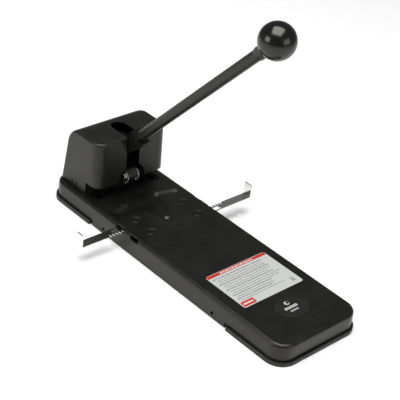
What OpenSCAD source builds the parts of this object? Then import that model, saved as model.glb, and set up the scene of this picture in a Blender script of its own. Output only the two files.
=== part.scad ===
// Heavy-duty two-hole lever punch for thick stacks of paper.
// Origin: centre of the base on the table. +Z up, -Y towards the user, +X to the user's right.
// The punching head stands at the +Y end, and the lever leans forward over the long base.

/* [Base] */
// Width of the pressed base between its outer side walls
base_w = 120; // [114:1:146]
// Length of the pressed base between its outer end walls
base_l = 392; // [370:1:480]
// Height of the flat top of the base above the table
base_h = 25.5; // [24.5:0.5:31]
// Thickness of the pressed sheet
sheet_t = 1.6; // [1.2:0.1:2]
// Corner radius of the base, seen from above
corner_r = 19; // [12:1:24]
// Radius of the rolled edge round the top of the base
edge_r = 4; // [3:0.5:5]
// How far the two end trays stand out past the base walls
lip_out = 2.4; // [1.5:0.1:4]
// Height of the lip of each end tray
lip_h = 5; // [4:0.5:7]
// Length of the front tray, under the front end of the base
front_tray_l = 81; // [60:1:100]
// Length of the chip tray, under the punching head
chip_tray_l = 77; // [74:1:86]
// Gap between the chip tray and the table
tray_lift = 0.3; // [0.2:0.1:0.6]

/* [Punching] */
// Distance between the two holes that are punched
hole_spacing = 80; // [70:1:86]
// Diameter of the punched holes
punch_d = 6; // [5:0.5:7]
// Distance from the paper's edge to the centre of the holes
hole_margin = 12; // [10:0.5:14]
// Distance from the rear wall of the base to the paper stop
stop_setback = 52.5; // [50:0.5:58]
// Height of the gap that takes the paper
throat_h = 16.5; // [14:0.5:18]
// How far the punches enter the dies at the bottom of their travel
punch_entry = 1.4; // [1:0.1:2.4]
// Depth of the trough pressed into the base, where it meets the head
trough_depth = 3; // [1.5:0.1:3.5]

/* [Head] */
// How much narrower the cover is at its top than at its foot
cover_taper = 1; // [0:0.5:6]
// Height of the cover's top above the table
cover_top_z = 99; // [98:0.5:120]
// Wall of the cover
cover_t = 2.2; // [1.8:0.1:2.4]
// Width of the lever's slot in the cover
slot_w = 19.4; // [18:0.1:22]
// Thickness of the steel bar that guides the punches
guide_bar_h = 12; // [10:0.5:12]
// Diameter of the cross shaft that drives the punches
shaft_d = 10; // [8:0.5:11]
// Diameter of the lever's fulcrum pin
fulcrum_d = 10; // [8:0.5:12]

/* [Lever] */
// Angle of the raised lever above the table
lever_angle = 47; // [40:1:50]
// Length of the lever, from the cross shaft to the middle of the ball
lever_l = 299; // [240:1:360]
// Diameter of the lever rod
rod_d = 13; // [11:0.5:16]
// Diameter of the ball knob
ball_d = 40; // [32:1:50]
// Wall of the collar under the ball
collar_wall = 1.25; // [1:0.25:3]
// Length of the collar under the ball
collar_l = 14; // [8:1:20]

/* [Paper guides] */
// Distance from the paper stop to the middle of the guide mechanism
guide_setback = 89; // [84:1:96]
// Distance between the two hook plates in the stored setting
hook_span = 236; // [230:1:260]
// Height of the bent-up hook plates
hook_h = 17.7; // [12:0.5:24]
// Width of each guide strip over its teeth
strip_w = 11.7; // [11.5:0.1:13]
// Thickness of the guide strips
strip_t = 1.6; // [1.2:0.1:1.8]
// Tooth module of the racks and the pinion
gear_module = 1.4; // [1.3:0.1:1.5]
// Number of teeth on the pinion
pinion_teeth = 12; // [12:2:14]

/* [Labels] */
// Width of the information label
label_w = 89; // [60:1:92]
// Length of the information label
label_l = 63.5; // [40:0.5:70]
// Width of the oval badge
badge_w = 41; // [30:1:50]
// Length of the oval badge
badge_l = 33; // [24:1:40]

/* [Hidden] */

$fn = 64;
hull_fn = 32;
eps = 0.01;
over = 1;

// Fits: radial clearances and gaps
fit = 0.05;
gap = 0.3;
slide_gap = 0.5;

// Levels and lines of the base
tray_floor = 1.4;
wall_gap = 0.3;
wall_z = tray_lift + tray_floor + wall_gap;
relief_w = 2.4;
relief_h = 7;
plate_under_z = base_h - sheet_t;
rear_wall_y = base_l / 2;
front_wall_y = -base_l / 2;
chip_tray_y = rear_wall_y - chip_tray_l;
front_tray_y = front_wall_y + front_tray_l;
stop_y = rear_wall_y - stop_setback;
punch_y = stop_y - hole_margin;
punch_x = hole_spacing / 2;
punch_r = punch_d / 2;

// Trough pressed into the top of the base: a long wedge with a cross band over it
trough_front_w = 12;
trough_rear_w = 46;
trough_wall_w = 10;
trough_l = 112;
trough_rear_y = stop_y - 4;
trough_front_y = trough_rear_y - trough_l;
band_w = hole_spacing + 20;
band_l = 19;
band_y = trough_rear_y - 57;
band_slope = 6;
band_depth = trough_depth * 0.75;
die_recess_r = 8.4;

// Dies and the plate that carries them
die_flange_r = 8;
die_flange_h = 2.4;
die_body_r = 5.5;
die_drop = 0.6;
die_clear = 0.1;
die_plate_h = 8;
die_plate_w = hole_spacing + 22;
die_plate_front = 9.5;
die_plate_l = 61;
die_plate_z = plate_under_z - die_plate_h;
die_flange_z = base_h - die_drop - die_flange_h;
chip_r = 4;
drawer_half = punch_x + 12;
drawer_top_z = die_plate_z - 1;

// Punching head
jaw_z = base_h + throat_h;
jaw_top_z = jaw_z + guide_bar_h;
jaw_overhang = 19;
bar_w = hole_spacing + 16;
bar_front_y = stop_y - jaw_overhang;
bar_corner_r = 8;
bar_pocket_in = 7.4;
bar_pocket_out = 20;
bar_pocket_depth = 11;
spring_seat_z = jaw_z + 6;
spring_seat_r = 5.3;
frame_foot_h = 6;
frame_foot_l = 39.5;
frame_t = 6;
frame_wall_top = jaw_top_z + 2;
hub_half = 8.6;
cheek_in = hub_half + 0.6;
cheek_t = 5;
fulcrum_r = fulcrum_d / 2;
shaft_r = shaft_d / 2;
stroke = throat_h + 1 + die_drop + punch_entry;
shaft_z = jaw_top_z + stroke + 10;
fulcrum_dy = 25.5;
fulcrum_dz = stroke / 2;
fulcrum_y = punch_y + fulcrum_dy;
fulcrum_z = shaft_z - fulcrum_dz;
cheek_boss_r = fulcrum_r + 5.5;
cover_tab_w = 14;
cover_tab_t = 3;
cover_tab_z = 52;
cover_screw_x = 30;
cover_screw_z = 45;

// Stop pin in the nose of the guide bar, with its serrated washers
stop_pin_r = 3.7;
stop_pin_half = 10.3;
stop_pin_dy = -5;
stop_pin_dz = 3;
stop_pin_y = punch_y + stop_pin_dy;
stop_pin_z = jaw_z + stop_pin_dz;
nose_r = 6.5;
washer_r = 8.3;
washer_t = 1.2;
washer_teeth = 18;
washer_tooth_h = 1.4;

// Punches and springs
punch_tip_z = jaw_z + 1;
spring_collar_r = 5.4;
spring_collar_h = 2.5;
head_z = shaft_z - shaft_r - spring_collar_h;
spigot_hole_r = punch_r * 0.7;
spring_wire = 1;
spring_r = 4.3;
spring_turns = 7;
spring_sides = 8;
spring_steps = 12;
shaft_half = punch_x + 4;
shaft_chamfer = 2;
clip_t = 1;
clip_x = hub_half + 0.5;

// Lever
hub_boss_r = fulcrum_r + 6;
hub_fork_r = shaft_r + slide_gap + 3.5;
fork_reach = 2.2;
spigot_r = 5;
spigot_gap = 6;
spigot_l = 17;
socket_h = 18.4;
rod_start = shaft_r + spigot_gap + spigot_l;
rod_end = lever_l - ball_d / 2 + 12;
thread_r = 4;
collar_start = lever_l - ball_d / 2 - collar_l + 2.5;
collar_chamfer = 1;
rod_r = rod_d / 2;
collar_r = rod_r + collar_wall;
ball_r = ball_d / 2;
ball_flat = 1.5;

// Paper guides
guide_y = stop_y - guide_setback;
pitch_r = gear_module * pinion_teeth / 2;
tooth_pitch = PI * gear_module;
rack_tip = pitch_r - gear_module;
rack_root = pitch_r + 1.25 * gear_module;
strip_outer = rack_tip + strip_w;
rivet_r = 2.4;
rivet_off = strip_outer - 4.4;
rivet_x = 35.4;
rivet_slot_r = rivet_r + 0.25;
in_travel = 33;
tail_outer = rivet_off - rivet_r - 0.4;
tail_start = rivet_x - rivet_r - in_travel - 1;
strip_z = plate_under_z - 1.9 - strip_t;
hook_x = hook_span / 2;
out_travel = 30.5;
slot_in_x = rivet_x + in_travel + 0.3;
slot_out_x = rivet_x - out_travel - 0.3;
rack_first_x = -80;
rack_teeth = 28;
tail_end = rack_first_x + rack_teeth * tooth_pitch + 1.5;
backlash = 0.35;
bend_r = 2.4;
pinion_h = 3;
pinion_z = strip_z - 0.9;
stud_top_z = base_h - 1.3;
undercut = 2.2;
pinion_bore_r = 2.5;
stud_r = pinion_bore_r - fit;
clip_r = 4.6;
notch_in = 3;
notch_gap = 0.9;
notch_z = strip_z - 0.6;

// Cover
cover_w = hole_spacing + 23.5;
cover_top_w = cover_w - cover_taper;
cover_foot_z = base_h + gap;
cover_rear_y = rear_wall_y - 3.5;
cover_front_y = punch_y - 10.5;
cover_lean = 3;
cover_rear_lean = 7;
cover_front_r = 12;
cover_thin = 2.3;
cover_rear_r = 6;
cover_top_r = 23;
cover_edge_r = 2.5;
cover_cut_z = jaw_z - 0.5;
arch_r = 19;
slit_w = 1;
slit_h = 8;
slit_pitch = 8.3;
slit_y = stop_y + 16.5;
slot_rear_y = fulcrum_y + 5;
tab_y = cover_rear_y - cover_t - 9.2;
seat_lean = cover_rear_lean / (cover_top_z - cover_top_r - cover_foot_z);
seat_y = cover_rear_y - seat_lean * (cover_screw_z - cover_foot_z) - 0.4;
seat_head_r = 3.2;

// Fasteners
bolt_r = 3;
bolt_head_r = 5;
bolt_head_h = 5;
bolt_socket_r = 2.6;
bolt_x = 40;
bolt_y1 = stop_y + 12;
bolt_y2 = stop_y + 27;
bar_screw_x = 27;
tray_screw_x = 44;
tray_screw_y = front_tray_y - 14;
tray_screw_r = 1.6;
tray_head_r = 3;
tray_boss_h = 3.4;
post_r = 4;
post_spigot_r = 2.5;
post_spigot_l = sheet_t / 2;

BLACK_STEEL = [0.10, 0.10, 0.095];
BLACK_PLASTIC = [0.13, 0.13, 0.125];
BALL_BLACK = [0.05, 0.05, 0.05];
BRIGHT = [0.78, 0.79, 0.80];
STEEL = [0.52, 0.53, 0.54];
IRON = [0.20, 0.20, 0.20];
PAPER = [0.88, 0.88, 0.86];

// ---- helpers -------------------------------------------------------------

module box(x0, x1, y0, y1, z0, z1) {
    translate([x0, y0, z0])
        cube([x1 - x0, y1 - y0, z1 - z0]);
}

module both_sides() {
    children();
    mirror([1, 0, 0])
        children();
}

// A cylinder along X, from x0 to x1, through the point (y, z)
module x_rod(r, x0, x1, y, z) {
    translate([x0, y, z])
        rotate([0, 90, 0])
            cylinder(r = r, h = x1 - x0);
}

// A cylinder along Y, from y0 to y1, through the point (x, z)
module y_rod(r, y0, y1, x, z) {
    translate([x, y1, z])
        rotate([90, 0, 0])
            cylinder(r = r, h = y1 - y0);
}

// A side view drawn in (Y, Z), made x0 to x1 thick
module side_plate(x0, x1) {
    translate([x0, 0, 0])
        rotate([90, 0, 90])
            linear_extrude(height = x1 - x0)
                children();
}

// Places a child along the lever: its Z runs from the cross shaft to the ball
module along_lever(distance) {
    translate([0, punch_y, shaft_z])
        rotate([90 - lever_angle, 0, 0])
            translate([0, 0, distance])
                children();
}

// A rectangle with one radius on its -Y corners and another on its +Y corners
module plan_outline(w, y0, y1, r_front, r_rear) {
    for (side = [-1, 1]) {
        translate([side * (w / 2 - r_front), y0 + r_front])
            circle(r = r_front);
        translate([side * (w / 2 - r_rear), y1 - r_rear])
            circle(r = r_rear);
    }
    translate([-w / 2 + r_front, y0])
        square([w - 2 * r_front, r_front + eps]);
    translate([-w / 2, y0 + r_front])
        square([w, y1 - y0 - r_front - r_rear]);
    translate([-w / 2 + r_rear, y1 - r_rear - eps])
        square([w - 2 * r_rear, r_rear + eps]);
}

// A ring with teeth round its rim, like a toothed lock washer
module serrated_ring(bore_r) {
    difference() {
        union() {
            cylinder(r = washer_r - washer_tooth_h, h = washer_t);
            for (i = [0 : washer_teeth - 1])
                rotate([0, 0, i * 360 / washer_teeth])
                    translate([washer_r - washer_tooth_h - 0.6, -0.75, 0])
                        cube([washer_tooth_h + 0.6, 1.5, washer_t]);
        }
        translate([0, 0, -over])
            cylinder(r = bore_r, h = washer_t + 2 * over);
    }
}

// Cap screw with a hexagon socket: its head starts at z = 0 and its shank runs down
module cap_screw(r, l, head_r, head_h, socket_r) {
    translate([0, 0, -l])
        cylinder(r = r, h = l);
    difference() {
        cylinder(r = head_r, h = head_h);
        translate([0, 0, head_h / 2])
            cylinder(r = socket_r, h = head_h, $fn = 6);
    }
}

// ---- base ----------------------------------------------------------------

// The outside of the base, smaller by inset on its top, sides and ends
module base_form(inset, z0) {
    r_edge = max(edge_r - inset, 1);
    r_plan = corner_r - inset;
    r_flat = r_plan - r_edge;
    top_z = base_h - inset;
    hull()
        for (sx = [-1, 1], sy = [-1, 1])
            translate([sx * (base_w / 2 - corner_r), sy * (base_l / 2 - corner_r), 0])
                rotate_extrude($fn = 64) {
                    translate([0, z0])
                        square([r_plan, top_z - r_edge - z0]);
                    translate([0, z0])
                        square([r_flat, top_z - z0]);
                    translate([r_flat, top_z - r_edge])
                        intersection() {
                            circle(r = r_edge, $fn = hull_fn);
                            square(r_edge);
                        }
                }
}

// The trough, drop deeper and spread wider than the one that shows: a wedge that gets
// wider and deeper towards the head, and a shallower band across it
module trough_form(drop, spread) {
    floor_w = trough_rear_w - 2 * trough_wall_w;
    front_floor_w = 2;
    hull() {
        translate([0, 0, base_h])
            linear_extrude(height = over)
                polygon([
                    [-trough_front_w / 2 - spread, trough_front_y - spread],
                    [trough_front_w / 2 + spread, trough_front_y - spread],
                    [trough_rear_w / 2 + spread, trough_rear_y + spread],
                    [-trough_rear_w / 2 - spread, trough_rear_y + spread]
                ]);
        translate([0, trough_rear_y + spread - 14, base_h - trough_depth - drop])
            box(-floor_w / 2 - spread, floor_w / 2 + spread, 0, 14, 0, 0.1);
        translate([0, trough_front_y + 12 - spread, base_h - 0.3 - drop])
            box(-front_floor_w / 2 - spread, front_floor_w / 2 + spread, 0, 1, 0, 0.1);
    }
    translate([0, band_y, base_h])
        hull() {
            box(-band_w / 2 - spread, band_w / 2 + spread, -spread, band_l + spread, 0, over);
            box(-band_w / 2 + band_slope - spread, band_w / 2 - band_slope + spread,
                band_slope - spread, band_l - band_slope + spread,
                -band_depth - drop, 0.1 - band_depth - drop);
        }
}

// The four notches in the side walls that the guide strips slide through
module strip_notches() {
    for (side = [-1, 1], row = [-1, 1])
        translate([side * (base_w / 2), guide_y + row * (rack_tip + strip_w / 2), notch_z])
            box(side > 0 ? -notch_in : -over - sheet_t, side > 0 ? over + sheet_t : notch_in,
                -strip_w / 2 - notch_gap, strip_w / 2 + notch_gap, 0, base_h - notch_z + over);
}

// Cuts that let the two trays under the walls: lower walls over each tray, a relief
// notch beside it, and the opening that the chip tray is pulled out through
module tray_cuts() {
    box(-base_w, base_w, chip_tray_y - slide_gap, base_l, -over, wall_z);
    box(-base_w, base_w, -base_l, front_tray_y + slide_gap, -over, tray_floor + eps);
    box(-base_w, base_w, chip_tray_y - relief_w, chip_tray_y, -over, relief_h);
    box(-base_w, base_w, front_tray_y, front_tray_y + relief_w, -over, relief_h);
    box(-drawer_half, drawer_half, rear_wall_y - corner_r, base_l, -over, drawer_top_z + gap);
}

module base_tray() {
    color(BLACK_STEEL)
        difference() {
            union() {
                difference() {
                    base_form(0, 0);
                    base_form(sheet_t, -over);
                    tray_cuts();
                }
                intersection() {
                    trough_form(sheet_t, 1);
                    box(-base_w / 2, base_w / 2, -stop_y, stop_y,
                        base_h - trough_depth - 2 * sheet_t, base_h - sheet_t / 2);
                }
            }
            trough_form(0, 0);
            strip_notches();
            for (x = [-punch_x, punch_x])
                translate([x, punch_y, plate_under_z - over])
                    cylinder(r = die_recess_r, h = sheet_t + 2 * over);
            for (x = [-rivet_x, rivet_x], row = [-1, 1])
                translate([x, guide_y + row * rivet_off, plate_under_z - over])
                    cylinder(r = rivet_r, h = sheet_t + 2 * over);
            for (x = [-bolt_x, bolt_x], y = [bolt_y1, bolt_y2])
                translate([x, y, plate_under_z - over])
                    cylinder(r = bolt_r + 0.2, h = sheet_t + 2 * over);
            both_sides()
                translate([tray_screw_x, tray_screw_y, plate_under_z - over])
                    cylinder(r = post_spigot_r, h = post_spigot_l + over);
            translate([0, guide_y, pinion_z])
                cylinder(r = stud_r, h = stud_top_z - pinion_z);
            for (y = [guide_y + 41, guide_y - 147])
                x_rod(2, -base_w / 2 - over, base_w / 2 + over, y, 6.3);
        }
}

// Two threaded posts riveted into the underside of the base, for the front tray's screws
module tray_posts() {
    color(BLACK_STEEL)
        both_sides()
            translate([tray_screw_x, tray_screw_y, 0])
                difference() {
                    union() {
                        translate([0, 0, tray_boss_h])
                            cylinder(r = post_r, h = plate_under_z - tray_boss_h);
                        translate([0, 0, plate_under_z])
                            cylinder(r = post_spigot_r - fit, h = post_spigot_l);
                    }
                    translate([0, 0, tray_boss_h - over])
                        cylinder(r = tray_screw_r, h = over + 10);
                }
}

// Floor and lip of a shallow moulded tray that reaches round one end of the base.
// It is drawn for the +Y end, with its underside at height z0.
module end_tray(length, z0) {
    y0 = rear_wall_y - length;
    out_w = base_w + 2 * lip_out;
    translate([0, 0, z0])
        linear_extrude(height = tray_floor)
            plan_outline(out_w, y0, rear_wall_y + lip_out, 3, corner_r + lip_out);
    difference() {
        translate([0, 0, z0])
            linear_extrude(height = lip_h)
                plan_outline(out_w, y0, rear_wall_y + lip_out, 3, corner_r + lip_out);
        translate([0, 0, z0 - over])
            linear_extrude(height = lip_h + 2 * over)
                plan_outline(base_w + 2 * wall_gap, y0 - 10, rear_wall_y + wall_gap,
                             3, corner_r + wall_gap);
    }
}

module front_tray() {
    in_gap = sheet_t + wall_gap;
    rib_t = 1.4;
    rib_h = 10;
    color(BLACK_PLASTIC)
        difference() {
            union() {
                mirror([0, 1, 0])
                    end_tray(front_tray_l, 0);
                mirror([0, 1, 0])
                    difference() {
                        linear_extrude(height = rib_h)
                            plan_outline(base_w - 2 * in_gap, -front_tray_y + 1,
                                         rear_wall_y - in_gap, 3, corner_r - in_gap);
                        translate([0, 0, tray_floor])
                            linear_extrude(height = rib_h)
                                plan_outline(base_w - 2 * in_gap - 2 * rib_t,
                                             -front_tray_y + 1 + rib_t,
                                             rear_wall_y - in_gap - rib_t,
                                             2, corner_r - in_gap - rib_t);
                    }
                both_sides()
                    translate([tray_screw_x, tray_screw_y, 0])
                        cylinder(r = post_r + 1, h = tray_boss_h);
            }
            for (x = [-tray_screw_x, tray_screw_x])
                translate([x, tray_screw_y, -over]) {
                    cylinder(r = tray_screw_r + 0.2, h = tray_boss_h + 2 * over);
                    cylinder(r = tray_head_r + 0.1, h = over + 2);
                }
        }
}

module front_tray_screws() {
    color(STEEL)
        for (x = [-tray_screw_x, tray_screw_x])
            translate([x, tray_screw_y, 2])
                mirror([0, 0, 1])
                    cap_screw(tray_screw_r - eps, 10, tray_head_r, 1.6, 1.2);
}

// Outline of the drawer that rises from the chip tray, shrunk by inset
module drawer_outline(inset) {
    intersection() {
        plan_outline(base_w - 2 * inset, chip_tray_y + 1 + inset, rear_wall_y - inset,
                     3, corner_r - inset);
        translate([-drawer_half + gap + inset, 0])
            square([2 * (drawer_half - gap - inset), base_l]);
    }
}

module chip_tray() {
    color(BLACK_PLASTIC) {
        end_tray(chip_tray_l, tray_lift);
        difference() {
            translate([0, 0, tray_lift])
                linear_extrude(height = drawer_top_z - tray_lift)
                    drawer_outline(0);
            translate([0, 0, tray_lift + tray_floor])
                linear_extrude(height = drawer_top_z)
                    drawer_outline(1.6);
        }
    }
}

// ---- dies ----------------------------------------------------------------

module die_plate() {
    y0 = punch_y - die_plate_front;
    color(IRON)
        difference() {
            box(-die_plate_w / 2, die_plate_w / 2, y0, y0 + die_plate_l,
                die_plate_z, plate_under_z);
            for (x = [-punch_x, punch_x]) {
                translate([x, punch_y, die_plate_z - over])
                    cylinder(r = die_body_r, h = die_plate_h + 2 * over);
                if (die_flange_z < plate_under_z)
                    translate([x, punch_y, die_flange_z])
                        cylinder(r = die_flange_r + die_clear, h = die_plate_h);
            }
            for (x = [-bolt_x, bolt_x], y = [bolt_y1, bolt_y2])
                translate([x, y, die_plate_z - over])
                    cylinder(r = bolt_r, h = die_plate_h + 2 * over);
            box(-trough_rear_w / 2 - 2, trough_rear_w / 2 + 2, y0 - over, trough_rear_y + 2,
                base_h - trough_depth - sheet_t - gap, base_h);
        }
}

module die_bush(x) {
    body_z = die_plate_z + 0.5;
    color(BRIGHT)
        translate([x, punch_y, 0])
            difference() {
                union() {
                    translate([0, 0, body_z])
                        cylinder(r = die_body_r, h = die_flange_z - body_z + eps);
                    translate([0, 0, die_flange_z])
                        cylinder(r = die_flange_r, h = die_flange_h);
                }
                translate([0, 0, body_z - over])
                    cylinder(r = punch_r + 0.1, h = 30);
                translate([0, 0, body_z - over])
                    cylinder(r = chip_r, h = die_flange_z - body_z - 1);
            }
}

module left_die() {
    die_bush(-punch_x);
}

module right_die() {
    die_bush(punch_x);
}

// ---- frame of the head ---------------------------------------------------

module cheek_profile() {
    translate([stop_y, base_h + frame_foot_h - eps])
        square([frame_t + 4, fulcrum_z - base_h - frame_foot_h]);
    translate([stop_y, base_h + frame_foot_h - eps])
        square([frame_foot_l - 10, 14]);
    polygon([
        [stop_y, base_h + frame_foot_h],
        [stop_y + frame_foot_l - 10, base_h + frame_foot_h + 14],
        [fulcrum_y + cheek_boss_r, fulcrum_z],
        [stop_y, fulcrum_z]
    ]);
    translate([fulcrum_y, fulcrum_z])
        circle(r = cheek_boss_r);
}

module punch_frame() {
    color(IRON)
        difference() {
            union() {
                box(-bar_w / 2, bar_w / 2, stop_y, stop_y + frame_foot_l,
                    base_h, base_h + frame_foot_h);
                box(-bar_w / 2, bar_w / 2, stop_y, stop_y + frame_t,
                    base_h, frame_wall_top);
                both_sides()
                    side_plate(cheek_in, cheek_in + cheek_t)
                        cheek_profile();
                both_sides()
                    box(cover_screw_x - cover_tab_w / 2, cover_screw_x + cover_tab_w / 2,
                        tab_y - cover_tab_t, tab_y, base_h, cover_tab_z);
            }
            x_rod(fulcrum_r + eps, -bar_w, bar_w, fulcrum_y, fulcrum_z);
            for (x = [-bolt_x, bolt_x], y = [bolt_y1, bolt_y2])
                translate([x, y, base_h - over])
                    cylinder(r = bolt_r + 0.2, h = frame_foot_h + 2 * over);
            for (x = [-bar_screw_x, bar_screw_x])
                y_rod(bolt_r + 0.2, stop_y - over, stop_y + frame_t + over, x,
                      jaw_z + guide_bar_h / 2);
            for (x = [-cover_screw_x, cover_screw_x])
                y_rod(1.6, tab_y - cover_tab_t - over, tab_y + over, x, cover_screw_z);
            box(-cheek_in, cheek_in, stop_y - over, stop_y + frame_foot_l,
                frame_wall_top - 8, cover_top_z);
        }
}

module frame_bolts() {
    color(STEEL)
        for (x = [-bolt_x, bolt_x], y = [bolt_y1, bolt_y2])
            translate([x, y, base_h + frame_foot_h])
                cap_screw(bolt_r - eps, frame_foot_h + sheet_t + die_plate_h - 1,
                          bolt_head_r, bolt_head_h, bolt_socket_r);
}

module guide_bar() {
    color(IRON)
        difference() {
            union() {
                translate([0, 0, jaw_z])
                    linear_extrude(height = guide_bar_h)
                        plan_outline(bar_w, bar_front_y, stop_y, bar_corner_r, 1);
                x_rod(nose_r, -bar_pocket_in, bar_pocket_in, stop_pin_y, stop_pin_z);
                box(-bar_pocket_in, bar_pocket_in, stop_pin_y, stop_y - eps,
                    stop_pin_z - nose_r + 2, stop_pin_z + nose_r);
            }
            both_sides()
                box(bar_pocket_in, bar_pocket_out, bar_front_y - 8,
                    bar_front_y + bar_pocket_depth, jaw_z - 5, jaw_top_z + over);
            for (x = [-punch_x, punch_x]) {
                translate([x, punch_y, jaw_z - over])
                    cylinder(r = punch_r + fit, h = guide_bar_h + 2 * over);
                translate([x, punch_y, spring_seat_z])
                    cylinder(r = spring_seat_r, h = guide_bar_h);
            }
            x_rod(stop_pin_r + eps, -bar_w, bar_w, stop_pin_y, stop_pin_z);
            for (x = [-bar_screw_x, bar_screw_x])
                y_rod(bolt_r, stop_y - 13, stop_y + over, x, jaw_z + guide_bar_h / 2);
        }
}

module guide_bar_screws() {
    color(STEEL)
        for (x = [-bar_screw_x, bar_screw_x])
            translate([x, stop_y + frame_t, jaw_z + guide_bar_h / 2])
                rotate([-90, 0, 0])
                    cap_screw(bolt_r - eps, frame_t + 12, bolt_head_r, bolt_head_h, bolt_socket_r);
}

module stop_pin() {
    color(STEEL)
        x_rod(stop_pin_r, -stop_pin_half, stop_pin_half, stop_pin_y, stop_pin_z);
}

module stop_pin_washers() {
    color(BRIGHT)
        both_sides()
            translate([bar_pocket_in, stop_pin_y, stop_pin_z])
                rotate([0, 90, 0])
                    serrated_ring(stop_pin_r);
}

module fulcrum_pin() {
    half = cheek_in + cheek_t + 3.5;
    color(STEEL)
        x_rod(fulcrum_r, -half, half, fulcrum_y, fulcrum_z);
}

module fulcrum_washers() {
    color(BRIGHT)
        both_sides()
            translate([cheek_in + cheek_t, fulcrum_y, fulcrum_z])
                rotate([0, 90, 0])
                    serrated_ring(fulcrum_r);
}

// ---- punches -------------------------------------------------------------

module punch(x) {
    color(BRIGHT)
        difference() {
            union() {
                translate([x, punch_y, punch_tip_z])
                    cylinder(r = punch_r, h = head_z - punch_tip_z + eps);
                translate([x, punch_y, head_z])
                    cylinder(r = spring_collar_r, h = spring_collar_h);
                translate([x, punch_y, head_z])
                    cylinder(r = spigot_hole_r - eps, h = spring_collar_h + shaft_d + 1);
            }
            y_rod(punch_r * 1.6, punch_y - 10, punch_y + 10, x, punch_tip_z - punch_r * 1.35);
        }
}

module left_punch() {
    punch(-punch_x);
}

module right_punch() {
    punch(punch_x);
}

// Points of one ring of the spring's wire, a part of a turn along the coil
function coil_ring(turn, z) = [
    for (k = [0 : spring_sides - 1])
        let (a = k * 360 / spring_sides, r = spring_r + cos(a) * spring_wire / 2)
        [r * cos(turn * 360), r * sin(turn * 360), z + sin(a) * spring_wire / 2]
];

// A compression spring from z0 to z1 with one closed turn at each end
module coil_spring(z0, z1) {
    low = z0 + spring_wire / 2;
    rise = z1 - z0 - spring_wire;
    rings = spring_turns * spring_steps;
    closed_rise = 1.1 * spring_wire;
    open_turns = spring_turns - 2;
    open_rise = rise - 2 * closed_rise;
    points = [
        for (i = [0 : rings])
            let (
                turn = i / spring_steps,
                z = turn < 1 ? turn * closed_rise
                  : turn > spring_turns - 1 ? rise - (spring_turns - turn) * closed_rise
                  : closed_rise + (turn - 1) * open_rise / open_turns
            )
            each coil_ring(turn, low + z)
    ];
    sides = [
        for (i = [0 : rings - 1], k = [0 : spring_sides - 1])
            let (a = i * spring_sides + k, b = i * spring_sides + (k + 1) % spring_sides)
            each [[a, a + spring_sides, b], [b, a + spring_sides, b + spring_sides]]
    ];
    first_cap = [[for (k = [0 : spring_sides - 1]) k]];
    last_cap = [[for (k = [spring_sides - 1 : -1 : 0]) rings * spring_sides + k]];
    polyhedron(points = points, faces = concat(sides, first_cap, last_cap), convexity = 10);
}

module return_spring(x) {
    color(BRIGHT)
        translate([x, punch_y, 0])
            coil_spring(spring_seat_z, head_z);
}

module left_return_spring() {
    return_spring(-punch_x);
}

module right_return_spring() {
    return_spring(punch_x);
}

module cross_shaft() {
    color(STEEL)
        difference() {
            union() {
                x_rod(shaft_r, -shaft_half + shaft_chamfer, shaft_half - shaft_chamfer,
                      punch_y, shaft_z);
                both_sides()
                    translate([shaft_half - shaft_chamfer, punch_y, shaft_z])
                        rotate([0, 90, 0])
                            cylinder(r1 = shaft_r, r2 = shaft_r - shaft_chamfer,
                                     h = shaft_chamfer);
            }
            both_sides()
                translate([clip_x, punch_y, shaft_z])
                    rotate([0, 90, 0])
                        clip_groove();
            for (x = [-punch_x, punch_x])
                translate([x, punch_y, shaft_z - shaft_d])
                    cylinder(r = spigot_hole_r, h = 2 * shaft_d);
        }
}

module clip_groove() {
    difference() {
        cylinder(r = shaft_r + over, h = clip_t);
        translate([0, 0, -over])
            cylinder(r = shaft_r - 0.6, h = clip_t + 2 * over);
    }
}

module shaft_clips() {
    color(BRIGHT)
        both_sides()
            translate([clip_x, punch_y, shaft_z])
                rotate([0, 90, 0])
                    difference() {
                        cylinder(r = shaft_r + 1.4, h = clip_t);
                        translate([0, 0, -over])
                            cylinder(r = shaft_r - 0.6, h = clip_t + 2 * over);
                        translate([-shaft_r + 1.5, -2 * shaft_d, -over])
                            cube([2 * shaft_r - 3, 2 * shaft_d, clip_t + 2 * over]);
                    }
}

// ---- lever ---------------------------------------------------------------

module hub_profile() {
    fork_angle = atan2(fulcrum_dz, -fulcrum_dy);
    arm_l = norm([fulcrum_dy, fulcrum_dz]);
    translate([fulcrum_y, fulcrum_z])
        circle(r = hub_boss_r);
    translate([punch_y, shaft_z])
        circle(r = hub_fork_r);
    translate([fulcrum_y, fulcrum_z])
        rotate(fork_angle)
            translate([0, -hub_fork_r])
                square([arm_l, 2 * hub_fork_r]);
    translate([punch_y, shaft_z])
        rotate(180 - lever_angle)
            translate([0, -socket_h / 2])
                square([rod_start, socket_h]);
}

// The long hole that the cross shaft slides in as the lever turns
module fork_slot_profile() {
    fork_angle = atan2(fulcrum_dz, -fulcrum_dy);
    arm_l = norm([fulcrum_dy, fulcrum_dz]);
    slot_r = shaft_r + slide_gap;
    translate([fulcrum_y, fulcrum_z])
        rotate(fork_angle) {
            for (reach = [arm_l - fork_reach, arm_l + 0.3])
                translate([reach, 0])
                    circle(r = slot_r);
            translate([arm_l - fork_reach, -slot_r])
                square([fork_reach + 0.3, 2 * slot_r]);
        }
}

module lever_hub() {
    color(BLACK_STEEL)
        difference() {
            side_plate(-hub_half, hub_half)
                hub_profile();
            side_plate(-hub_half - over, hub_half + over)
                fork_slot_profile();
            x_rod(fulcrum_r + fit, -bar_w, bar_w, fulcrum_y, fulcrum_z);
            along_lever(rod_start - spigot_l)
                cylinder(r = spigot_r, h = spigot_l + over);
            along_lever(rod_start - 7)
                rotate([90, 0, 0])
                    cylinder(r = 2, h = 20);
        }
}

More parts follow.
